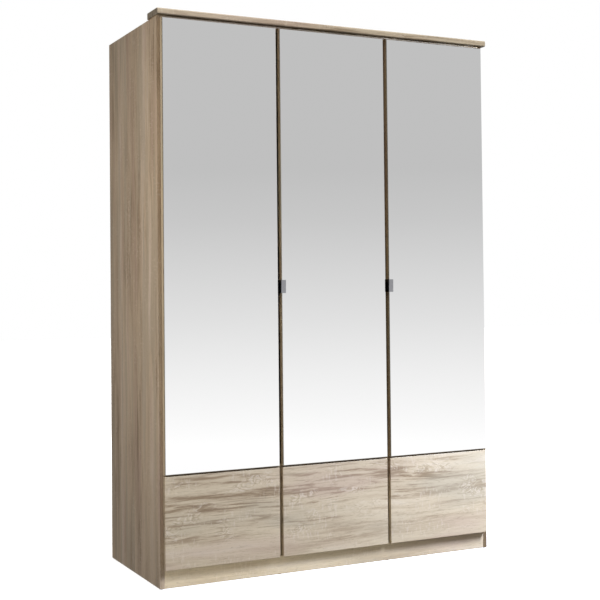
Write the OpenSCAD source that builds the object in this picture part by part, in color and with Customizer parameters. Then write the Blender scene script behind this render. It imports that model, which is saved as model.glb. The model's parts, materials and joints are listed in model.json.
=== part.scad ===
// Three-door wardrobe with mirrored doors over three drawers.
// Millimetres. Origin on the floor at the centre of the overall box, +Z up,
// the fronts face -Y and +X is to the right of somebody facing them.

/* [Carcass] */
// Width over the two side panels
carcass_w = 1350; // [1290:10:1410]
// Overall height, floor to the cornice's top
total_h = 1990; // [1930:10:2050]
// Depth of the side panels
side_d = 542; // [530:1:600]
// Thickness of the chipboard panels
board_t = 16; // [16:0.5:17]
// Height of the floor glides
glide_h = 2; // [1:0.5:5]
// Diameter of the floor glides
glide_dia = 14; // [10:1:15]

/* [Cornice] */
// Height of the cornice strip
cornice_h = 22; // [18:1:28]
// Depth of the cornice strip
cornice_d = 106; // [60:1:160]
// Overhang of the cornice past each side panel
cornice_overhang = 5; // [0:1:10]
// How far the cornice stands in front of the side panels
cornice_reach = 26; // [22:1:32]
// Radius of the cornice's front edges
cornice_r = 5; // [2:1:8]

/* [Fronts] */
// Gap between neighbouring fronts
front_gap = 13; // [11.5:0.5:13]
// Set-in of the outer fronts from the side panels' outer faces
front_inset = 12; // [11:0.5:13]
// Air between the carcass's front edges and the fronts
front_air = 2; // [1.5:0.5:3]
// Thickness of the mirror glass
mirror_t = 4; // [3:0.5:4]
// Board showing round each mirror
mirror_margin = 2; // [2:0.5:12]
// Height of the drawer fronts' lower edge above the floor
drawer_front_z = 66; // [60:1:74]
// Height of the drawer fronts
drawer_front_h = 318; // [300:1:330]
// Gap between drawer fronts and doors
door_drawer_gap = 5; // [4:0.5:7]
// Gap between doors and cornice
door_cornice_gap = 7; // [5:1:8]

/* [Base] */
// Set-back of the front plinth board behind the side panels' front edges
plinth_setback = 1; // [0:0.5:5]
// Height of the base board's top face above the floor
base_top = 66; // [50:1:70]

/* [Interior] */
// Height of the hat shelf's underside
hat_shelf_z = 1745; // [1730:5:1760]
// Height of the clothes rail's centre
rail_z = 1690; // [1600:5:1700]
// Outer diameter of the clothes rail
rail_dia = 25; // [20:1:30]
// Set-back of the shelves behind the carcass's front edges
shelf_setback = 22; // [10:1:40]

/* [Door hinges] */
// Diameter of the hinge cups
cup_dia = 35; // [35:1:35]
// Depth of the hinge cups
cup_depth = 11.5; // [11:0.5:12]
// Distance from the door's edge to the cup's centre
cup_edge = 22.5; // [22:0.5:23]
// Set-in of the turning axis from the door's edge
axis_inset = 3; // [2.5:0.5:3]
// Distance from the door's ends to the outermost hinges
hinge_end = 100; // [80:5:120]

/* [Handles] */
// Height of the handles' centre above the floor
handle_z = 1030; // [900:10:1200]
// Length of a handle
handle_h = 47; // [30:1:80]
// Width of a handle's face
handle_w = 18.5; // [16:0.5:24]
// Thickness of the leg that fills the gap between the doors
handle_leg = 8.5; // [6:0.5:9]
// Thickness of the lip that the fingers pull
handle_lip = 3.5; // [2.5:0.5:5]
// Distance of the handles' faces from the carcass's front edges
handle_reach = 38; // [36:1:44]

/* [Drawers] */
// Thickness of the drawer sides and backs
drawer_t = 12; // [10:1:14]
// Height of the drawer sides' lower edge above the floor
box_z = 80; // [78:1:90]
// Height of the drawer sides
box_h = 220; // [150:5:240]
// Length of the drawer sides
box_d = 450; // [350:5:480]
// Room for a runner between a drawer side and the carcass
runner_gap = 12.5; // [12.5:0.5:14]

/* [Hidden] */
$fn = 48;

oak = [0.80, 0.72, 0.62];
oak_inner = [0.78, 0.70, 0.60];
glass_silver = [0.82, 0.85, 0.87];
aluminium = [0.72, 0.72, 0.74];
steel = [0.66, 0.66, 0.66];
hardboard = [0.74, 0.66, 0.55];
plastic = [0.30, 0.28, 0.26];

// How far a cut runs past the face that it opens.
past = 1;

// Columns, counted from 0 on the left; X is measured from the left panel's outer face
// and Y from the side panels' front edges, so what stands in front of them is negative.
front_y = (handle_reach - side_d) / 2;
front_w = (carcass_w - 2 * front_inset - 2 * front_gap) / 3;
function front_x(i) = front_inset + i * (front_w + front_gap);
function divider_x(i) = front_x(i + 1) - (front_gap + board_t) / 2;
bays = [
    [board_t, divider_x(0)],
    [divider_x(0) + board_t, divider_x(1)],
    [divider_x(1) + board_t, carcass_w - board_t]
];

carcass_top = total_h - cornice_h;
top_z = carcass_top - board_t;
door_z = drawer_front_z + drawer_front_h + door_drawer_gap;
door_top = carcass_top - door_cornice_gap;
deck_overlap = 6;
deck_top = door_z + deck_overlap;
deck_z = deck_top - board_t;

// The back panels lie in a rebate that runs round the rear of the side panels.
back_t = 3;
rebate_d = 4;
rebate_w = 8;
inner_d = side_d - rebate_d;
back_z = [glide_h + rebate_w, carcass_top - rebate_w];
strip_web = 1.5;
strip_w = 20;
strip_t = 0.8;
back_play = 0.5;

// The base board lies between a plinth board at the front and an equal one at the rear.
plinth_ys = [plinth_setback, inner_d - board_t];

// Loose shelves divide the narrow compartment into equal heights.
shelf_count = 3;
shelf_room = (top_z - deck_top - shelf_count * board_t) / (shelf_count + 1);
function shelf_z(k) = deck_top + (k + 1) * shelf_room + k * board_t;
pin_r = 2.5;
pin_fit = 0.05;
pin_deep = 8;
pin_end = 0.5;
pin_out = 8;
pin_ys = [62, inner_d - 70];
shelf_play = 1;
shelf_rear = 2;

// Cam fittings that draw the fixed boards against the uprights.
cam_r = 7.5;
cam_deep = 12.5;
cam_edge = 34;
cam_ys = [60, 470];

// Hinge geometry: u runs from the turning axis into the door, y as for the carcass.
hinge_count = 4;
axis_y = -(front_air + board_t + mirror_t);
board_back_y = board_t + mirror_t;
cup_u = cup_edge - axis_inset;
cup_wall = 0.8;
cup_floor_y = board_back_y - cup_depth;
ear_z = 26;
ear_w = 16;
ear_t = 1.2;
link_pivot = [17.5, 14.5];
link_eye_r = 2;
link_pin_r = 1;
pin_clear = 0.05;
link_reach = [16.3, 4.2];
link_bend = [7.5, 4.6];
link_half = 5.5;
link_cheek = 3.3;
link_t = 1.6;
arm_tongue = 3;
arm_half = 7;
arm_lift = 5;
arm_t = 9;
arm_ys = [27, 85];
neck_w = 5;
neck_rise = [-0.5, 4];
plate_wing = [31, 43];
plate_wing_half = 24;
plate_wing_t = 2;
plate_saddle = [46, 84];
plate_half = 6.5;

// Door 0 is hinged on its left edge, doors 1 and 2 on their right edges.
function hinged_left(i) = i == 0;
function axis_x(i) = hinged_left(i) ? front_x(i) + axis_inset : front_x(i) + front_w - axis_inset;
function face_u(i) = hinged_left(i) ? bays[i][0] - axis_x(i) : axis_x(i) - bays[i][1];
hinge_step = (door_top - door_z - 2 * hinge_end) / (hinge_count - 1);
hinge_zs = [for (k = [0:hinge_count - 1]) door_z + hinge_end + k * hinge_step];

bumper_r = 2.5;
bumper_t = 1.7;
bumper_edge = 25;

screw_zs = [-14, 14];
screw_y = -12;
screw_r = 1.7;
screw_head_r = 3.2;
screw_head_t = 2;
screw_deep = 16;
screw_end = 1;
hole_clear = 0.1;

groove_z = box_z + 10;
groove_t = 3.2;
groove_d = 6;
bottom_t = 3;
bottom_play = 0.5;

runner_zc = 130;
runner_sheet = 1.2;
runner_half = 18;
runner_flange = 10.5;
slide_half = 15;
slide_lip = 8.5;
runner_ys = [10, 10 + box_d];
slide_ys = [4, box_d - 6];

rail_wall = 1;
rail_play = 0.5;
rail_fit = 0.2;
rail_y = 272;
socket_disc_r = 20;
socket_disc_t = 3;
socket_l = 12;
socket_wall = 2.2;

bracket_w = 20;
bracket_d = 32;
bracket_h = 20;
bracket_t = 2;
bracket_hole_r = 2.6;
bracket_hole_z = 11;
bracket_xs = [175, 1175];

// Everything below is drawn from the left panel's outer, front, bottom corner.
module placed() translate([-carcass_w / 2, front_y, 0]) children();

module block(x, y, z)
    translate([x[0], y[0], z[0]])
        cube([x[1] - x[0], y[1] - y[0], z[1] - z[0]]);

module along_x(x, y, z, r, l) translate([x, y, z]) rotate([0, 90, 0]) cylinder(r = r, h = l);

// Pin positions as [y, z] of the loose shelves and of the hat shelf.
loose_pins = [for (k = [0:shelf_count - 1]) for (y = pin_ys) [y, shelf_z(k) - pin_r]];
hat_pins = [for (y = pin_ys) [y, hat_shelf_z - pin_r]];

module pin_holes(x, spots)
    for (s = spots) along_x(x, s[0], s[1], pin_r, pin_deep + past);

module side_left() color(oak) placed() difference() {
    block([0, board_t], [0, side_d], [glide_h, carcass_top]);
    block([board_t - rebate_w, board_t + past], [inner_d, side_d + past], [0, total_h]);
    pin_holes(board_t - pin_deep, hat_pins);
}

module side_right() color(oak) placed() difference() {
    block([carcass_w - board_t, carcass_w], [0, side_d], [glide_h, carcass_top]);
    block([carcass_w - board_t - past, carcass_w - board_t + rebate_w],
          [inner_d, side_d + past], [0, total_h]);
    pin_holes(carcass_w - board_t - past, loose_pins);
}

// An upright that stands on the base board and on both plinth boards.
module upright(x, z1) block([x, x + board_t], [0, inner_d], [base_top, z1]);

module drawer_divider() color(oak_inner) placed() upright(divider_x(0), deck_z);

module partition() color(oak_inner) placed() difference() {
    upright(divider_x(1), top_z);
    pin_holes(divider_x(1) - past, hat_pins);
    pin_holes(divider_x(1) + board_t - pin_deep, loose_pins);
}

// Blind holes for the cam fittings of a board; face is the side they open on.
module cam_set(xs, z, dir, r, extra) for (x = xs) for (y = cam_ys)
    translate([x, y, dir > 0 ? z - cam_deep : z - extra])
        cylinder(r = r, h = cam_deep + extra);

base_cams = [board_t + cam_edge, carcass_w - board_t - cam_edge];
wide_cams = [bays[0][0] + cam_edge, bays[1][1] - cam_edge];
narrow_cams = [bays[2][0] + cam_edge, bays[2][1] - cam_edge];

module base_board() color(oak_inner) placed() difference() {
    block([board_t, carcass_w - board_t], [plinth_ys[0] + board_t, plinth_ys[1]],
          [base_top - board_t, base_top]);
    cam_set(base_cams, base_top, 1, cam_r, past);
}

module plinth_boards() color(oak) placed() for (y = plinth_ys)
    block([board_t, carcass_w - board_t], [y, y + board_t], [glide_h, base_top]);

module top_panel() color(oak_inner) placed() difference() {
    block([board_t, carcass_w - board_t], [0, inner_d], [top_z, carcass_top]);
    cam_set(base_cams, top_z, -1, cam_r, past);
}

module deck(x, cams) difference() {
    block(x, [0, inner_d], [deck_z, deck_top]);
    cam_set(cams, deck_z, -1, cam_r, past);
}

module deck_wide() color(oak_inner) placed() deck([bays[0][0], bays[1][1]], wide_cams);

module deck_narrow() color(oak_inner) placed() deck(bays[2], narrow_cams);

module cam_fittings() color(steel) placed() {
    cam_set(base_cams, base_top, 1, cam_r - hole_clear, 0);
    cam_set(base_cams, top_z, -1, cam_r - hole_clear, 0);
    cam_set(wide_cams, deck_z, -1, cam_r - hole_clear, 0);
    cam_set(narrow_cams, deck_z, -1, cam_r - hole_clear, 0);
}

module loose_shelf(k) color(oak_inner) placed()
    block([bays[2][0] + shelf_play, bays[2][1] - shelf_play], [shelf_setback, inner_d - shelf_rear],
          [shelf_z(k), shelf_z(k) + board_t]);

module shelf_low() loose_shelf(0);
module shelf_mid() loose_shelf(1);
module shelf_high() loose_shelf(2);

module hat_shelf() color(oak_inner) placed()
    block([bays[0][0] + shelf_play, bays[1][1] - shelf_play], [shelf_setback, inner_d - shelf_rear],
          [hat_shelf_z, hat_shelf_z + board_t]);

// Pins reach pin_out into the compartment and end just short of their holes' bottoms.
module pin_row(x, spots, inward)
    for (s = spots)
        along_x(inward > 0 ? x - pin_deep + pin_end : x - pin_out, s[0], s[1],
                pin_r - pin_fit, pin_deep - pin_end + pin_out);

module shelf_pins() color(steel) placed() {
    pin_row(bays[0][0], hat_pins, 1);
    pin_row(bays[1][1], hat_pins, -1);
    pin_row(bays[2][0], loose_pins, 1);
    pin_row(bays[2][1], loose_pins, -1);
}

module clothes_rail() color(steel) placed() {
    x0 = bays[0][0] + socket_disc_t + rail_play;
    rail_l = bays[1][1] - socket_disc_t - rail_play - x0;
    difference() {
        along_x(x0, rail_y, rail_z, rail_dia / 2, rail_l);
        along_x(x0 - past, rail_y, rail_z, rail_dia / 2 - rail_wall, rail_l + 2 * past);
    }
}

// A flanged cup that holds one end of the rail, drawn with its foot at X = 0.
module rail_socket() difference() {
    union() {
        along_x(0, 0, 0, socket_disc_r, socket_disc_t);
        along_x(0, 0, 0, rail_dia / 2 + socket_wall, socket_disc_t + socket_l);
    }
    along_x(socket_disc_t, 0, 0, rail_dia / 2 + rail_fit, socket_l + past);
}

module rail_brackets() color(steel) placed() {
    translate([bays[0][0], rail_y, rail_z]) rail_socket();
    translate([bays[1][1], rail_y, rail_z]) mirror([1, 0, 0]) rail_socket();
}

// Cross-section with rounded front edges: X is depth from the front, Y is height.
module cornice_profile() difference() {
    square([cornice_d, cornice_h]);
    for (side = [0, 1]) translate([0, side * cornice_h]) mirror([0, side]) difference() {
        translate([-past, -past]) square(cornice_r + past);
        translate([cornice_r, cornice_r]) circle(r = cornice_r);
    }
}

module cornice() color(oak) placed()
    translate([-cornice_overhang, -cornice_reach, carcass_top])
        rotate([90, 0, 90]) linear_extrude(carcass_w + 2 * cornice_overhang) cornice_profile();

// Back panels meet at the strips, on the centre lines of the two dividers.
seams = [divider_x(0) + board_t / 2, divider_x(1) + board_t / 2];
back_xs = [
    [board_t - rebate_w + back_play, seams[0] - strip_web],
    [seams[0] + strip_web, seams[1] - strip_web],
    [seams[1] + strip_web, carcass_w - board_t + rebate_w - back_play]
];

module back_panel(i) color(hardboard) placed()
    block(back_xs[i], [inner_d, inner_d + back_t], back_z);

module back_left() back_panel(0);
module back_middle() back_panel(1);
module back_right() back_panel(2);

module back_strips() color(plastic) placed() for (x = seams) {
    block([x - strip_web / 2, x + strip_web / 2], [inner_d, inner_d + back_t + strip_t / 2], back_z);
    block([x - strip_w / 2, x + strip_w / 2],
          [inner_d + back_t, inner_d + back_t + strip_t], back_z);
}

// Nail heads along the outer edges of the back, evenly spread at about nail_pitch.
nail_r = 2.5;
nail_pitch = 130;
nail_edge = 3.7;
nail_corner = 30;
nail_x = [back_xs[0][0] + nail_edge, back_xs[2][1] - nail_edge];
nail_z = [back_z[0] + nail_corner, back_z[1] - nail_corner];
nail_rows = round((nail_z[1] - nail_z[0]) / nail_pitch);
nail_cols = round((nail_x[1] - nail_x[0]) / nail_pitch);

module nail(x, z) translate([x, inner_d + back_t, z]) rotate([-90, 0, 0])
    cylinder(r = nail_r, h = strip_t);

module back_nails() color(steel) placed() {
    for (k = [0:nail_rows]) for (x = nail_x)
        nail(x, nail_z[0] + k * (nail_z[1] - nail_z[0]) / nail_rows);
    for (k = [0.5:nail_cols - 0.5]) for (z = [back_z[0] + nail_edge, back_z[1] - nail_edge])
        nail(nail_x[0] + k * (nail_x[1] - nail_x[0]) / nail_cols, z);
}

glide_xs = [board_t / 2, seams[0], seams[1], carcass_w - board_t / 2];
glide_ys = [for (y = plinth_ys) y + board_t / 2];

module floor_glides() color(plastic) placed()
    for (x = glide_xs) for (y = glide_ys)
        translate([x, y, 0]) cylinder(d = glide_dia, h = glide_h);

module wall_brackets() color(steel) placed() for (x = bracket_xs) difference() {
    union() {
        block([x - bracket_w / 2, x + bracket_w / 2], [side_d - bracket_d, side_d],
              [carcass_top, carcass_top + bracket_t]);
        block([x - bracket_w / 2, x + bracket_w / 2], [side_d - bracket_t, side_d],
              [carcass_top, carcass_top + bracket_h]);
    }
    translate([x, side_d + past, carcass_top + bracket_hole_z]) rotate([90, 0, 0])
        cylinder(r = bracket_hole_r, h = bracket_t + 2 * past);
}

function free_edge_x(i) = hinged_left(i) ? front_x(i) + front_w - bumper_edge
                                         : front_x(i) + bumper_edge;

module door_bumpers() color(plastic) placed()
    for (i = [0:2]) for (z = [(deck_top + door_z) / 2, (top_z + door_top) / 2])
        translate([free_edge_x(i), 0, z]) rotate([90, 0, 0])
            cylinder(r = bumper_r, h = bumper_t);

// Puts children drawn in a hinge's own frame (u, y, z) at each hinge of door i.
module at_hinges(i) for (z = hinge_zs)
    translate([axis_x(i), axis_y, z]) mirror([hinged_left(i) ? 0 : 1, 0, 0]) children();

module upright_prism(half) translate([0, 0, -half]) linear_extrude(2 * half) children();

// A flat bar with round ends between two points of the hinge's plane.
module bar(a, b, w) {
    d = b - a;
    l = norm(d);
    translate(a) rotate(atan2(d[1], d[0])) translate([0, -w / 2]) square([l, w]);
    for (p = [a, b]) translate(p) circle(d = w, $fn = 24);
}

module hinge_plates() color(steel) placed() for (i = [0:2]) at_hinges(i) {
    f = face_u(i);
    block([f, f + plate_wing_t], plate_wing, [-plate_wing_half, plate_wing_half]);
    block([f + plate_wing_t, f + arm_lift], plate_wing, [-plate_half, plate_half]);
    block([f, f + arm_lift], plate_saddle, [-plate_half, plate_half]);
    block([f + plate_wing_t, f + arm_lift], [plate_wing[1], plate_saddle[0]],
          [-plate_half, plate_half]);
}

module hinge_arm(f) difference() {
    union() {
        block([f + arm_lift, f + arm_lift + arm_t], arm_ys, [-arm_half, arm_half]);
        upright_prism(arm_tongue) {
            bar([f + arm_lift + arm_t / 2, arm_ys[0] + neck_w / 2], link_pivot + neck_rise, neck_w);
            bar(link_pivot, link_pivot + neck_rise, 2 * link_eye_r);
        }
    }
    upright_prism(arm_half) translate(link_pivot) circle(r = link_pin_r + pin_clear);
}

module hinge_arms() color(steel) placed() for (i = [0:2]) at_hinges(i) hinge_arm(face_u(i));

// A fork on its own pin: two cheeks, joined by a bridge at the far end.
module hinge_link() {
    bend = link_pivot + link_bend;
    tip = link_pivot + link_reach;
    for (side = [0, 1]) mirror([0, 0, side])
        translate([0, 0, link_cheek]) linear_extrude(link_half - link_cheek) {
            translate(link_pivot) circle(r = link_eye_r);
            bar(link_pivot, bend, link_t);
            bar(bend, tip, link_t);
        }
    upright_prism(link_half) bar(bend, tip, link_t);
    upright_prism(link_half) translate(link_pivot) circle(r = link_pin_r);
}

module door_links(i) color(steel) placed() at_hinges(i) hinge_link();

module cup_cylinder(r, y0, y1) translate([cup_u, y1, 0]) rotate([90, 0, 0])
    cylinder(r = r, h = y1 - y0);

module hinge_cup() difference() {
    union() {
        cup_cylinder(cup_dia / 2, cup_floor_y, board_back_y);
        block([cup_u - ear_w / 2, cup_u + ear_w / 2], [board_back_y, board_back_y + ear_t],
              [-ear_z, ear_z]);
    }
    cup_cylinder(cup_dia / 2 - cup_wall, cup_floor_y + cup_wall, board_back_y + ear_t + past);
}

module door_cups(i) color(steel) placed() at_hinges(i) hinge_cup();

// Doors 1 and 2 carry a handle on their left edge.
module handle_holes(i, r, l) for (z = screw_zs)
    along_x(front_x(i), screw_y, handle_z + z, r, l);

module door_board(i, has_handle) color(oak) placed() difference() {
    block([front_x(i), front_x(i) + front_w], [-front_air - board_t, -front_air],
          [door_z, door_top]);
    at_hinges(i) cup_cylinder(cup_dia / 2 + hole_clear, cup_floor_y, board_back_y + past);
    if (has_handle) translate([-past, 0, 0]) handle_holes(i, screw_r + hole_clear, screw_deep + past);
}

module door_mirror(i) color(glass_silver) placed()
    block([front_x(i) + mirror_margin, front_x(i) + front_w - mirror_margin],
          [axis_y, axis_y + mirror_t], [door_z + mirror_margin, door_top - mirror_margin]);

// Cross-section of the handle: leg in the gap, lip over the door's own mirror.
handle_r = 1.5;
leg_y = -6;

module handle_profile() difference() {
    union() {
        translate([-handle_leg, -handle_reach]) square([handle_leg, handle_reach + leg_y]);
        translate([-handle_leg, -handle_reach]) square([handle_w, handle_lip]);
    }
    for (right = [0, 1])
        translate([right ? handle_w - handle_leg : -handle_leg, -handle_reach])
            mirror([right, 0]) difference() {
                translate([-past, -past]) square(handle_r + past);
                translate([handle_r, handle_r]) circle(r = handle_r);
            }
}

module door_handle(i) color(aluminium) placed() difference() {
    translate([front_x(i), 0, handle_z - handle_h / 2]) linear_extrude(handle_h)
        handle_profile();
    translate([-handle_leg - past, 0, 0]) {
        handle_holes(i, screw_r + hole_clear, handle_leg + 2 * past);
        handle_holes(i, screw_head_r + hole_clear, screw_head_t + past);
    }
}

module door_screws(i) color(steel) placed() translate([-handle_leg, 0, 0]) {
    handle_holes(i, screw_head_r, screw_head_t);
    handle_holes(i, screw_r, handle_leg + screw_deep - screw_end);
}

module door_left_board() door_board(0, false);
module door_left_mirror() door_mirror(0);
module door_left_cups() door_cups(0);
module door_left_links() door_links(0);
module door_middle_board() door_board(1, true);
module door_middle_mirror() door_mirror(1);
module door_middle_cups() door_cups(1);
module door_middle_links() door_links(1);
module door_middle_handle() door_handle(1);
module door_middle_screws() door_screws(1);
module door_right_board() door_board(2, true);
module door_right_mirror() door_mirror(2);
module door_right_cups() door_cups(2);
module door_right_links() door_links(2);
module door_right_handle() door_handle(2);
module door_right_screws() door_screws(2);

function box_x0(i) = bays[i][0] + runner_gap;
function box_x1(i) = bays[i][1] - runner_gap;
box_y = [-front_air, box_d - front_air];
bottom_inset = drawer_t - groove_d + bottom_play;

// The groove that holds the drawer's bottom, cut from the front, sides and back.
module bottom_groove(i)
    block([box_x0(i) + drawer_t - groove_d, box_x1(i) - drawer_t + groove_d],
          [box_y[0] - groove_d, box_y[1] - drawer_t + groove_d],
          [groove_z, groove_z + groove_t]);

module drawer_front(i) color(oak) placed() difference() {
    block([front_x(i), front_x(i) + front_w], [-front_air - board_t, -front_air],
          [drawer_front_z, drawer_front_z + drawer_front_h]);
    bottom_groove(i);
}

module drawer_sides(i) color(oak_inner) placed()
    for (x = [box_x0(i), box_x1(i) - drawer_t]) difference() {
        block([x, x + drawer_t], box_y, [box_z, box_z + box_h]);
        bottom_groove(i);
    }

module drawer_back(i) color(oak_inner) placed() difference() {
    block([box_x0(i) + drawer_t, box_x1(i) - drawer_t], [box_y[1] - drawer_t, box_y[1]],
          [box_z, box_z + box_h]);
    bottom_groove(i);
}

module drawer_bottom(i) color(hardboard) placed()
    block([box_x0(i) + bottom_inset, box_x1(i) - bottom_inset],
          [box_y[0] - groove_d + bottom_play, box_y[1] - bottom_inset],
          [groove_z + hole_clear, groove_z + hole_clear + bottom_t]);

// Nested channels: the outer one on the carcass, the inner one on the drawer side.
module outer_channel() {
    block([0, runner_sheet], runner_ys, [-runner_half, runner_half]);
    for (z = [-runner_half, runner_half - runner_sheet])
        block([0, runner_flange], runner_ys, [z, z + runner_sheet]);
}

module inner_channel() translate([runner_gap, 0, 0]) {
    block([-runner_sheet, 0], slide_ys, [-slide_half, slide_half]);
    for (z = [-slide_half, slide_half - runner_sheet])
        block([-slide_lip, 0], slide_ys, [z, z + runner_sheet]);
}

module on_both_walls(i) {
    translate([bays[i][0], 0, runner_zc]) children();
    translate([bays[i][1], 0, runner_zc]) mirror([1, 0, 0]) children();
}

module cabinet_runners() color(steel) placed() for (i = [0:2]) on_both_walls(i) outer_channel();
module drawer_runners(i) color(steel) placed() on_both_walls(i) inner_channel();

module drawer_left_front() drawer_front(0);
module drawer_left_sides() drawer_sides(0);
module drawer_left_back() drawer_back(0);
module drawer_left_bottom() drawer_bottom(0);
module drawer_left_runners() drawer_runners(0);
module drawer_middle_front() drawer_front(1);
module drawer_middle_sides() drawer_sides(1);
module drawer_middle_back() drawer_back(1);
module drawer_middle_bottom() drawer_bottom(1);
module drawer_middle_runners() drawer_runners(1);
module drawer_right_front() drawer_front(2);
module drawer_right_sides() drawer_sides(2);
module drawer_right_back() drawer_back(2);
module drawer_right_bottom() drawer_bottom(2);
module drawer_right_runners() drawer_runners(2);

side_left();
side_right();
drawer_divider();
partition();
base_board();
plinth_boards();
top_panel();
deck_wide();
deck_narrow();
hat_shelf();
shelf_low();
shelf_mid();
shelf_high();
shelf_pins();
clothes_rail();
rail_brackets();
cornice();
back_left();
back_middle();
back_right();
back_strips();
back_nails();
floor_glides();
cam_fittings();
hinge_plates();
hinge_arms();
cabinet_runners();
wall_brackets();
door_bumpers();
door_left_board();
door_left_mirror();
door_left_cups();
door_left_links();
door_middle_board();
door_middle_mirror();
door_middle_cups();
door_middle_links();
door_middle_handle();
door_middle_screws();
door_right_board();
door_right_mirror();
door_right_cups();
door_right_links();
door_right_handle();
door_right_screws();
drawer_left_front();
drawer_left_sides();
drawer_left_back();
drawer_left_bottom();
drawer_left_runners();
drawer_middle_front();
drawer_middle_sides();
drawer_middle_back();
drawer_middle_bottom();
drawer_middle_runners();
drawer_right_front();
drawer_right_sides();
drawer_right_back();
drawer_right_bottom();
drawer_right_runners();
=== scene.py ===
"""Looks of the three-door mirrored wardrobe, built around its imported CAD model."""
import json
import math
import bpy
from mathutils import Matrix, Vector

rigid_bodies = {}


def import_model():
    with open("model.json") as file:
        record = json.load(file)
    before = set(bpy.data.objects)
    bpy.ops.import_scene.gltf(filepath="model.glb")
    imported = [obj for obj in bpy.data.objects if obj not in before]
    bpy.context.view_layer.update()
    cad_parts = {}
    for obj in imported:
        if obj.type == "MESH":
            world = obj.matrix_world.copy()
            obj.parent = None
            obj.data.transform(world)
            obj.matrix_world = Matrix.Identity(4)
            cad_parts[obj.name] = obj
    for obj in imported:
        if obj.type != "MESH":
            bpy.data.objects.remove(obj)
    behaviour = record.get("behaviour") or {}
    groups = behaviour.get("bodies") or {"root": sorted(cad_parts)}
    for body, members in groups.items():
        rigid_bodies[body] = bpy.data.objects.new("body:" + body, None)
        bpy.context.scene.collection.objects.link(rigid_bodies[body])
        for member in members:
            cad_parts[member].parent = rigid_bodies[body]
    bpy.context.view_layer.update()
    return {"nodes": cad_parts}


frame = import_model()
NODES = frame["nodes"]


# ---------------------------------------------------------------- shader graphs

def set_stops(ramp_node, stops):
    """Gives a colour ramp its stops, each a place from 0 to 1 and a linear colour."""
    points = ramp_node.color_ramp.elements
    while len(points) < len(stops):
        points.new(1.0)
    for point, (place, colour) in zip(points, stops):
        point.position = place
        point.color = (*colour[:3], 1.0)


class Graph:
    """A material's node tree with short calls for the nodes used here."""

    def __init__(self, name):
        self.mat = bpy.data.materials.new(name)
        self.mat.use_nodes = True
        self.tree = self.mat.node_tree
        self.shader = self.tree.nodes["Principled BSDF"]

    def node(self, kind, **props):
        made = self.tree.nodes.new("ShaderNode" + kind)
        for key, value in props.items():
            setattr(made, key, value)
        return made

    def feed(self, socket, value):
        if isinstance(value, bpy.types.NodeSocket):
            self.tree.links.new(value, socket)
        else:
            socket.default_value = value

    def math(self, op, a, b=0.0, clamp=False):
        made = self.node("Math", operation=op, use_clamp=clamp)
        self.feed(made.inputs[0], a)
        self.feed(made.inputs[1], b)
        return made.outputs[0]

    def around_half(self, value, weight):
        """How far a value lies from one half, times a weight."""
        return self.math("MULTIPLY", self.math("SUBTRACT", value, 0.5), weight)

    def vector(self, op, a, b):
        made = self.node("VectorMath", operation=op)
        self.feed(made.inputs[0], a)
        self.feed(made.inputs[1], b)
        return made.outputs[0]

    def noise(self, vector, detail=2.0, roughness=0.5, distortion=0.0):
        made = self.node("TexNoise")
        self.feed(made.inputs["Vector"], vector)
        made.inputs["Scale"].default_value = 1.0
        made.inputs["Detail"].default_value = detail
        made.inputs["Roughness"].default_value = roughness
        made.inputs["Distortion"].default_value = distortion
        return made.outputs["Fac"]

    def along(self, place, grain, across, along):
        """Stretches a place, with so many noise cells a metre across and along the grain."""
        scale = [across, across, across]
        scale["XYZ".index(grain)] = along
        return self.vector("MULTIPLY", place, tuple(scale))

    def ramp(self, fac, stops):
        made = self.node("ValToRGB")
        set_stops(made, stops)
        self.feed(made.inputs["Fac"], fac)
        return made.outputs["Color"]

    def step(self, fac, low, high):
        """0 below low, 1 above high, eased between them."""
        made = self.node("MapRange", interpolation_type="SMOOTHSTEP")
        self.feed(made.inputs["Value"], fac)
        made.inputs["From Min"].default_value = low
        made.inputs["From Max"].default_value = high
        return made.outputs["Result"]

    def mix(self, fac, a, b, blend="MIX"):
        made = self.node("Mix", data_type="RGBA", blend_type=blend)
        self.feed(made.inputs["Factor"], fac)
        self.feed(made.inputs["A"], a)
        self.feed(made.inputs["B"], b)
        return made.outputs["Result"]

    def bump(self, height, strength, distance):
        made = self.node("Bump")
        made.inputs["Strength"].default_value = strength
        made.inputs["Distance"].default_value = distance
        self.feed(made.inputs["Height"], height)
        self.feed(self.shader.inputs["Normal"], made.outputs["Normal"])

    def set(self, **values):
        for key, value in values.items():
            self.feed(self.shader.inputs[key.replace("_", " ")], value)
        return self.mat


def rgb(red, green, blue):
    """An sRGB colour, 0 to 255 each, as linear values with alpha."""
    def linear(c):
        c /= 255.0
        return c / 12.92 if c <= 0.04045 else ((c + 0.055) / 1.055) ** 2.4
    return (linear(red), linear(green), linear(blue), 1.0)


# ---------------------------------------------------------------- materials

OAK_DARK = rgb(114, 95, 71)
OAK_BROWN = rgb(147, 128, 101)
OAK_MID = rgb(184, 167, 140)
OAK_LIGHT = rgb(204, 189, 160)
OAK_PALE = rgb(219, 207, 188)
OAK_PINK = rgb(190, 166, 150)
OAK_GREY = rgb(176, 168, 146)
# Height of the brown heart on the drawer fronts (m), the radians a metre of the wave that
# repeats it above and below, and how much the wave adds to the noise.
FRONT_HEART = 0.27
HEART_WAVES = 15.0
HEART_LIFT = 0.15
# The oak's tone away from any streak, how much more a streak darkens it in the full heart, and
# how much a streak darkens it everywhere.
BARE_TONE = 0.74
STREAK_DEPTH = 0.27
STREAK_LEAST = 0.04


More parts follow.
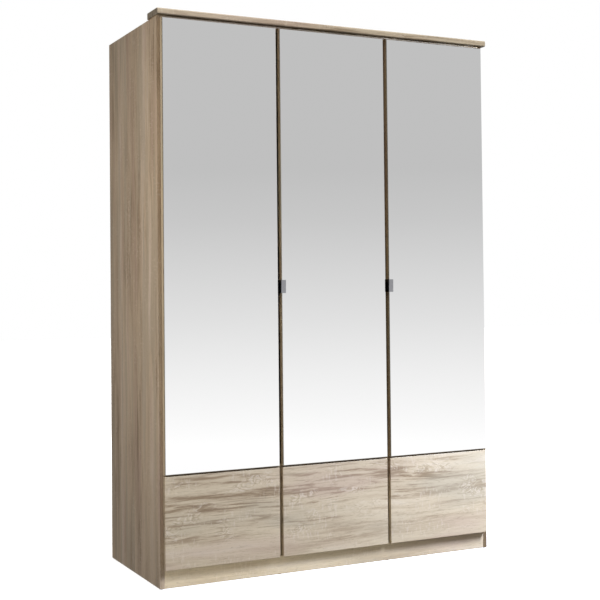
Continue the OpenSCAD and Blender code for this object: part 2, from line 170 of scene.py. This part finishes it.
def oak(name, grain, seed, tint=(1, 1, 1), banding=0.0, figure=1.0):
    """Pale sawn oak: brown heart streaks, pores, curly patches and saw strokes.

    banding is the strength of the long stripes, figure that of the heart. Where the grain runs
    along X the heart comes back at regular heights, one of them being FRONT_HEART.
    """
    g = Graph(name)
    own = g.node("TexCoord").outputs["Object"]
    place = g.vector("ADD", own, seed)
    sway = g.noise(g.along(place, grain, 3.0, 1.8), detail=2.0)
    sway = g.around_half(sway, 0.03)
    shift = g.node("CombineXYZ")
    for axis in range(3):
        if "XYZ"[axis] != grain:
            g.feed(shift.inputs[axis], sway)
    place = g.vector("ADD", place, shift.outputs[0])

    height = g.node("SeparateXYZ")
    g.feed(height.inputs[0], g.vector("ADD", own, shift.outputs[0]))
    wave = g.math("SUBTRACT", height.outputs["Z"], FRONT_HEART)
    wave = g.math("MULTIPLY", wave, HEART_WAVES)
    heart = g.noise(g.along(place, grain, 8.0, 1.1), detail=1.5)
    lift = HEART_LIFT if grain == "X" else 0.0
    heart = g.math("ADD", heart, g.math("MULTIPLY", g.math("COSINE", wave), lift))
    heart = g.math("MULTIPLY", g.step(heart, 0.40, 0.64), figure)
    soft = g.noise(g.along(place, grain, 28.0, 2.4), detail=2.0, distortion=0.3)
    streak = g.noise(g.along(place, grain, 90.0, 5.0), detail=3.0, roughness=0.6, distortion=0.5)
    ragged = g.noise(g.along(place, grain, 150.0, 20.0), detail=4.0, roughness=0.7, distortion=1.0)
    thread = g.noise(g.along(place, grain, 240.0, 6.0), detail=3.0, roughness=0.6)
    fibre = g.noise(g.along(place, grain, 620.0, 16.0), detail=2.0, roughness=0.6)
    edge = g.math("ADD", streak, g.around_half(ragged, 0.24))
    edge = g.math("ADD", edge, g.around_half(soft, 0.75))
    depth = g.math("ADD", g.math("MULTIPLY", heart, STREAK_DEPTH), STREAK_LEAST)
    tone = g.math("SUBTRACT", BARE_TONE, g.math("MULTIPLY", g.step(edge, 0.51, 0.68), depth))
    tone = g.math("SUBTRACT", tone, g.math("MULTIPLY", heart, 0.08))
    layers = ((soft, -0.40), (streak, -0.12), (thread, 0.18), (ragged, -0.12), (fibre, 0.10))
    for layer, weight in layers:
        tone = g.math("ADD", tone, g.around_half(layer, weight))
    band = g.noise(g.along(place, grain, 24.0, 0.4), detail=2.0)
    tone = g.math("ADD", tone, g.around_half(band, banding), clamp=True)
    colour = g.ramp(tone, [
        (0.10, OAK_DARK), (0.34, OAK_BROWN), (0.58, OAK_MID), (0.74, OAK_LIGHT), (0.95, OAK_PALE),
    ])
    cloud = g.noise(g.along(place, grain, 6.0 + 30.0 * banding, 1.6), detail=2.0)
    colour = g.mix(g.math("MULTIPLY", g.step(cloud, 0.52, 0.66), 0.35), colour, OAK_PINK)
    colour = g.mix(g.math("MULTIPLY", g.step(cloud, 0.50, 0.36), 0.50), colour, OAK_GREY)

    curl = g.noise(g.along(place, grain, 30.0, 16.0), detail=1.0, distortion=1.8)
    curl = g.math("PINGPONG", g.math("MULTIPLY", curl, 8.0), 1.0)
    knots = g.math("MULTIPLY", g.step(g.noise(g.along(place, grain, 11.0, 5.5)), 0.54, 0.62), heart)
    knots = g.math("MULTIPLY", knots, 0.5)
    for low, high, line in ((0.62, 0.95, OAK_PALE), (0.38, 0.05, OAK_BROWN)):
        colour = g.mix(g.math("MULTIPLY", g.step(curl, low, high), knots), colour, line)

    saw = g.noise(g.along(place, grain, 36.0, 140.0), detail=1.0)
    patch = g.noise(g.along(place, grain, 15.0, 7.0), detail=2.0)
    strokes = g.math("MULTIPLY", g.step(saw, 0.54, 0.66), g.step(patch, 0.52, 0.60))
    strokes = g.math("MULTIPLY", strokes, 0.26)
    colour = g.mix(strokes, colour, OAK_PALE)
    slender = g.noise(g.along(place, grain, 170.0, 5.0), detail=2.0, distortion=0.3)
    slender = g.math("MULTIPLY", g.step(slender, 0.57, 0.66), g.math("ADD", heart, 0.3))
    colour = g.mix(g.math("MULTIPLY", slender, 0.26), colour, OAK_DARK)
    pore = g.noise(g.along(place, grain, 760.0, 44.0), detail=1.0)
    dashes = g.math("MULTIPLY", g.step(pore, 0.62, 0.72), 0.4)
    colour = g.mix(dashes, colour, OAK_DARK)
    # tint multiplies the colour; the door, upright and side copies use it for painted light and
    # painted shade.
    colour = g.mix(1.0, colour, (*tint, 1.0), blend="MULTIPLY")

    relief = g.math("ADD", g.math("MULTIPLY", fibre, 0.6), g.math("MULTIPLY", strokes, 1.2))
    g.bump(g.math("SUBTRACT", relief, dashes), 0.25, 0.0006)
    rough = g.math("ADD", g.math("MULTIPLY", thread, 0.16), 0.42)
    return g.set(Base_Color=colour, Roughness=rough, Specular_IOR_Level=0.4)


def mirror_glass():
    """Silvered glass seen from its face; at its edges pale glass whose near-white colour is partly a
    painted highlight.
    """
    g = Graph("mirror_glass")
    facing = g.node("SeparateXYZ")
    g.feed(facing.inputs[0], g.node("TexCoord").outputs["Normal"])
    face = g.step(g.math("MULTIPLY", facing.outputs["Y"], -1.0), 0.55, 0.8)
    mist = g.noise(g.vector("MULTIPLY", g.node("TexCoord").outputs["Object"], (3, 3, 3)), 4.0)
    rough = g.math("ADD", g.math("MULTIPLY", mist, 0.012), 0.004)
    rough = g.math("ADD", rough, g.math("MULTIPLY", g.math("SUBTRACT", 1.0, face), 0.22))
    silver = rgb(249, 249, 249)
    # Near white: the glass edge's own pale colour lightened into a painted highlight.
    edge = rgb(226, 230, 226)
    g.set(Base_Color=g.mix(face, edge, silver), Roughness=rough, Metallic=face)
    return g.mat


def brushed_metal(name, colour, grain, roughness=0.3, contrast=0.25):
    """Satin metal with fine lines along the grain axis."""
    g = Graph(name)
    place = g.node("TexCoord").outputs["Object"]
    scale = [2600.0, 2600.0, 2600.0]
    scale["XYZ".index(grain)] = 60.0
    lines = g.noise(g.vector("MULTIPLY", place, tuple(scale)), 2.0)
    cloud = g.noise(g.vector("MULTIPLY", place, (40, 40, 40)), 2.0)
    shade = g.math("ADD", g.math("MULTIPLY", lines, contrast), 1.0 - contrast / 2)
    tint = g.node("CombineColor")
    for channel in range(3):
        g.feed(tint.inputs[channel], g.math("MULTIPLY", shade, colour[channel], clamp=True))
    rough = g.math("ADD", g.math("MULTIPLY", lines, 0.14), roughness - 0.07)
    rough = g.math("ADD", rough, g.math("MULTIPLY", cloud, 0.06))
    g.bump(lines, 0.12, 0.0002)
    return g.set(Base_Color=tint.outputs[0], Roughness=rough, Metallic=1.0)


def handle_metal():
    """Satin aluminium on the face and lip, near black on the side that faces -X and fills the gap."""
    g = Graph("handle_metal")
    coords = g.node("TexCoord")
    facing = g.node("SeparateXYZ")
    g.feed(facing.inputs[0], coords.outputs["Normal"])
    side = g.step(g.math("MULTIPLY", facing.outputs["X"], -1.0), 0.6, 0.85)
    lines = g.noise(g.vector("MULTIPLY", coords.outputs["Object"], (2400, 2400, 90)), 2.0)
    bright = g.ramp(lines, [(0.25, rgb(150, 150, 154)), (0.75, rgb(186, 186, 190))])
    rough = g.math("ADD", g.math("MULTIPLY", lines, 0.12), 0.26)
    g.bump(lines, 0.1, 0.0002)
    return g.set(Base_Color=g.mix(side, bright, rgb(34, 31, 29)), Roughness=rough, Metallic=1.0)


def moulded(name, colour, roughness):
    """Plastic or paint with a fine orange-peel surface."""
    g = Graph(name)
    place = g.node("TexCoord").outputs["Object"]
    peel = g.noise(g.vector("MULTIPLY", place, (900, 900, 900)), 3.0)
    cloud = g.noise(g.vector("MULTIPLY", place, (25, 25, 25)), 2.0)
    low = tuple(0.88 * c for c in colour[:3])
    shade = g.ramp(cloud, [(0.3, low), (0.7, colour[:3])])
    g.bump(peel, 0.15, 0.0003)
    rough = g.math("ADD", g.math("MULTIPLY", peel, 0.12), roughness - 0.06)
    return g.set(Base_Color=shade, Roughness=rough)


def hardboard():
    """Pressed fibreboard, pale on the lacquered face, flecked with fibres."""
    g = Graph("hardboard")
    place = g.node("TexCoord").outputs["Object"]
    fibre = g.noise(g.vector("MULTIPLY", place, (260, 260, 260)), 4.0, 0.7, 1.2)
    cloud = g.noise(g.vector("MULTIPLY", place, (5, 5, 5)), 3.0)
    tone = g.math("ADD", g.math("MULTIPLY", fibre, 0.55), g.math("MULTIPLY", cloud, 0.45))
    colour = g.ramp(tone, [
        (0.30, rgb(160, 140, 114)), (0.50, rgb(186, 168, 142)), (0.72, rgb(204, 189, 166)),
    ])
    g.bump(fibre, 0.2, 0.0004)
    return g.set(Base_Color=colour, Roughness=0.7)


# ---------------------------------------------------------------- dressing the nodes

# The tint of 0.86 is painted shade: it darkens the partition and the drawer divider, whose front
# edges show in the shaded gaps between the fronts.
OAK_UPRIGHT_SHADED = oak("oak_upright", "Z", (3.1, 7.7, 1.3), tint=(0.86, 0.85, 0.84))
# The tint above 1 is painted light: it makes the door boards, their margins and their edges in the
# gaps, lighter than the other oak.
OAK_DOOR_LIT = oak("oak_door", "Z", (3.1, 7.7, 1.3), tint=(1.08, 1.07, 1.05), figure=0.5)
# The tint is painted shade: it makes both side panels darker and browner than the other oak, as a
# side turned from the lamps looks.
OAK_SIDE_SHADED = oak("oak_side", "Z", (2.2, 5.9, 4.4), tint=(0.96, 0.90, 0.89), banding=0.6, figure=0.5)
OAK_LEVEL = oak("oak_level", "X", (5.3, 2.9, 8.1))
OAK_DEEP = oak("oak_deep", "Y", (1.7, 4.3, 6.1))
MIRROR = mirror_glass()
HANDLE = handle_metal()
NICKEL = brushed_metal("nickel", rgb(196, 194, 190), "Y", 0.26)
CHROME = brushed_metal("chrome", rgb(226, 228, 230), "X", 0.12, 0.06)
RUNNER_PAINT = moulded("runner_paint", rgb(214, 211, 205), 0.45)
DARK_PLASTIC = moulded("dark_plastic", rgb(58, 54, 50), 0.55)
PALE_PLASTIC = moulded("pale_plastic", rgb(205, 199, 188), 0.5)
BACK_BOARD = hardboard()

LEVEL_BOARDS = {
    "base_board", "plinth_boards", "top_panel", "deck_wide", "deck_narrow", "hat_shelf",
    "shelf_low", "shelf_mid", "shelf_high", "cornice",
}
UPRIGHT_BOARDS = {"drawer_divider", "partition"}
SIDE_BOARDS = {"side_left", "side_right"}
PLASTICS = {"floor_glides": DARK_PLASTIC, "door_bumpers": DARK_PLASTIC, "back_strips": PALE_PLASTIC}


def material_of(node):
    """The finish of a CAD node, worked out from its name."""
    last = node.rsplit("_", 1)[-1]
    if node in PLASTICS:
        return PLASTICS[node]
    if node in SIDE_BOARDS:
        return OAK_SIDE_SHADED
    if node in UPRIGHT_BOARDS:
        return OAK_UPRIGHT_SHADED
    if last == "board" and node.startswith("door"):
        return OAK_DOOR_LIT
    if node in LEVEL_BOARDS or last == "front":
        return OAK_LEVEL
    if node.startswith("drawer") and last == "back":
        return OAK_LEVEL
    if last == "sides":
        return OAK_DEEP
    if last == "mirror":
        return MIRROR
    if last == "handle":
        return HANDLE
    if last == "runners":
        return RUNNER_PAINT
    if node in ("clothes_rail", "rail_brackets"):
        return CHROME
    if last == "bottom" or node in ("back_left", "back_middle", "back_right"):
        return BACK_BOARD
    return NICKEL


# The width of the eased edge (m) by the last word of the node's name, and of any other.
BEVELS = {"mirror": 0.0012, "handle": 0.0006, "front": 0.0010, "board": 0.0015}
OTHER_BEVEL = 0.0007
EASED = (OAK_UPRIGHT_SHADED, OAK_DOOR_LIT, OAK_SIDE_SHADED, OAK_LEVEL, OAK_DEEP, MIRROR, HANDLE)


def dress(node, piece):
    """Gives a CAD node its finish and eased edges; its mesh stays as it is."""
    material = material_of(node)
    piece.data.materials.clear()
    piece.data.materials.append(material)
    if material in EASED:
        weld = piece.modifiers.new("weld", "WELD")
        weld.merge_threshold = 0.00001
        bevel = piece.modifiers.new("eased_edges", "BEVEL")
        bevel.width = BEVELS.get(node.rsplit("_", 1)[-1], OTHER_BEVEL)
        bevel.segments = 2
        bevel.limit_method = "ANGLE"
        bevel.angle_limit = math.radians(50)
        bevel.harden_normals = True


for name, piece in NODES.items():
    dress(name, piece)


# ---------------------------------------------------------------- stage, light and camera

FLOOR_GLOW = 0.74
# The grey that a mirror shows by the rise of the ray it sends out (the Z of its direction), over
# rises from minus to plus the span. The stops were set to the mirrors' shades in the photo.
MIRROR_SPAN = 0.8
MIRROR_STOPS = (
    (-0.70, 0.78), (-0.30, 0.90), (-0.134, 1.07), (-0.110, 1.0), (-0.068, 0.900), (-0.026, 0.79),
    (0.059, 0.607), (0.101, 0.555),
)
# The camera was fitted to the photo's corners: place (m), turn (degrees), lens and upward shift.
CAMERA_PLACE = (-2.0252, -4.0521, 1.0211)
CAMERA_YAW_PITCH_ROLL = (26.49, 1.314, -0.568)
CAMERA_LENS = 70.104
CAMERA_SHIFT = -0.0633
# The key lamp skips these pieces, because it makes them too bright.
KEY_SKIPS = ("cornice", "side_right", "door_middle_board", "door_right_board")


def floor():
    """A plain pale floor that glows, so that it runs into the white background.

    Reflections and bounced light leave it out.
    """
    bpy.ops.mesh.primitive_plane_add(size=40)
    plane = bpy.context.object
    plane.name = "floor"
    g = Graph("floor")
    g.set(Base_Color=(0.9, 0.9, 0.9, 1), Roughness=0.9, Specular_IOR_Level=0.0)
    g.shader.inputs["Emission Color"].default_value = (1, 1, 1, 1)
    g.shader.inputs["Emission Strength"].default_value = FLOOR_GLOW
    plane.data.materials.append(g.mat)
    plane.visible_glossy = False
    plane.visible_diffuse = False


def studio():
    """The world: white to the camera, a grey gradient to the mirrors, a warm glow to diffuse rays."""
    world = bpy.data.worlds.new("studio")
    bpy.context.scene.world = world
    world.use_nodes = True
    tree = world.node_tree
    tree.nodes.clear()
    link = tree.links.new

    def new(kind):
        return tree.nodes.new("ShaderNode" + kind)

    def eased(source, low, high, at_low, at_high, easing="SMOOTHSTEP"):
        made = new("MapRange")
        made.interpolation_type = easing
        made.inputs["From Min"].default_value = low
        made.inputs["From Max"].default_value = high
        made.inputs["To Min"].default_value = at_low
        made.inputs["To Max"].default_value = at_high
        link(source, made.inputs["Value"])
        return made.outputs["Result"]

    def backdrop(colour):
        made = new("Background")
        made.inputs["Color"].default_value = colour
        return made

    def choose(ray, otherwise, chosen):
        made = new("MixShader")
        link(ray, made.inputs[0])
        link(otherwise, made.inputs[1])
        link(chosen, made.inputs[2])
        return made.outputs[0]

    split = new("SeparateXYZ")
    link(new("TexCoord").outputs["Generated"], split.inputs[0])
    ramp = new("ValToRGB")
    set_stops(ramp, [(0.5 + 0.5 * rise / MIRROR_SPAN, (grey,) * 3) for rise, grey in MIRROR_STOPS])
    link(eased(split.outputs["Z"], -MIRROR_SPAN, MIRROR_SPAN, 0.0, 1.0, "LINEAR"), ramp.inputs["Fac"])
    around = new("Background")
    link(ramp.outputs["Color"], around.inputs["Color"])
    link(eased(split.outputs["Y"], -0.1, 0.6, 1.0, 0.4), around.inputs["Strength"])
    glow = backdrop((1.0, 0.93, 0.90, 1))
    link(eased(split.outputs["Z"], -0.7, 0.2, 0.02, 0.31), glow.inputs["Strength"])
    seen = backdrop((1, 1, 1, 1))
    rays = new("LightPath")
    lit = choose(rays.outputs["Is Diffuse Ray"], around.outputs[0], glow.outputs[0])
    shown = choose(rays.outputs["Is Camera Ray"], lit, seen.outputs[0])
    link(shown, new("OutputWorld").inputs[0])


def add_light(kind, name, power, colour, lights_up):
    """A light that shows to no camera and lights only the objects of one collection."""
    data = bpy.data.lights.new(name, kind)
    data.energy = power
    data.color = colour
    made = bpy.data.objects.new(name, data)
    bpy.context.scene.collection.objects.link(made)
    made.visible_camera = False
    made.light_linking.receiver_collection = lights_up
    return made


def soft_box(name, place, target, size, power, colour, lights_up):
    """A rectangular lamp aimed at a point."""
    made = add_light("AREA", name, power, colour, lights_up)
    made.data.shape = "RECTANGLE"
    made.data.size, made.data.size_y = size
    made.location = place
    made.rotation_euler = (Vector(target) - Vector(place)).to_track_quat("-Z", "Y").to_euler()


def high_light(name, direction, power, colour, lights_up):
    """A distant lamp high in front, whose shadows lie under whatever stands out."""
    made = add_light("SUN", name, power, colour, lights_up)
    made.data.angle = math.radians(8)
    made.rotation_euler = Vector(direction).to_track_quat("Z", "Y").to_euler()


def receivers(name, wanted):
    """The pieces that a lamp lights, never a mirror or a handle, so that no lamp shows in one."""
    group = bpy.data.collections.new(name)
    for thing in bpy.data.objects:
        shiny = thing.name.endswith(("_mirror", "_handle"))
        if thing.type == "MESH" and not shiny and wanted(thing.name):
            group.objects.link(thing)
    return group


def camera():
    """A long lens from the front left, at chest height."""
    data = bpy.data.cameras.new("camera")
    data.sensor_width = 36
    data.lens = CAMERA_LENS
    data.shift_y = CAMERA_SHIFT
    made = bpy.data.objects.new("camera", data)
    bpy.context.scene.collection.objects.link(made)
    yaw, pitch, roll = (math.radians(a) for a in CAMERA_YAW_PITCH_ROLL)
    turn = Matrix.Rotation(-yaw, 4, "Z") @ Matrix.Rotation(math.pi / 2 + pitch, 4, "X")
    turn = turn @ Matrix.Rotation(roll, 4, "Z")
    made.matrix_world = Matrix.Translation(CAMERA_PLACE) @ turn
    bpy.context.scene.camera = made


def lamps():
    """Soft lamps, some for single pieces, that together give the tones of the photo."""
    everything = receivers("everything", lambda name: True)
    all_but_cornice = receivers("all_but_cornice", lambda name: name != "cornice")
    key_lit = receivers("key_lit", lambda name: name not in KEY_SKIPS)
    cornice = receivers("cornice_only", lambda name: name == "cornice")
    plinth = receivers("plinth_only", lambda name: name == "plinth_boards")
    dull = receivers("dull", lambda name: not name.endswith(("nails", "brackets")))
    soft_box("key", (1.5, -1.15, 1.6), (0.4, -0.27, 0.3), (0.4, 0.8), 83,
             (0.90, 0.99, 1.27), key_lit)
    soft_box("fill", (-1.45, -0.55, 1.25), (-0.68, -0.1, 1.1), (0.3, 1.6), 6.2,
             (1.0, 0.95, 0.9), all_but_cornice)
    soft_box("low", (-0.45, -1.1, 0.12), (-0.4, -0.27, 0.06), (0.8, 0.2), 2.5,
             (1.0, 0.96, 0.84), plinth)
    soft_box("behind", (0.6, 3.4, 2.0), (0, 0.29, 1.0), (2.0, 2.0), 60, (1.0, 0.97, 0.94), dull)
    high_light("high", (0.45, -0.44, 0.92), 1.62, (1.0, 0.99, 0.94), everything)
    high_light("top", (-0.1, -0.8, 0.7), 1.85, (1.0, 1.01, 1.12), cornice)


floor()
studio()
lamps()
camera()
bpy.context.scene.view_settings.view_transform = "Standard"
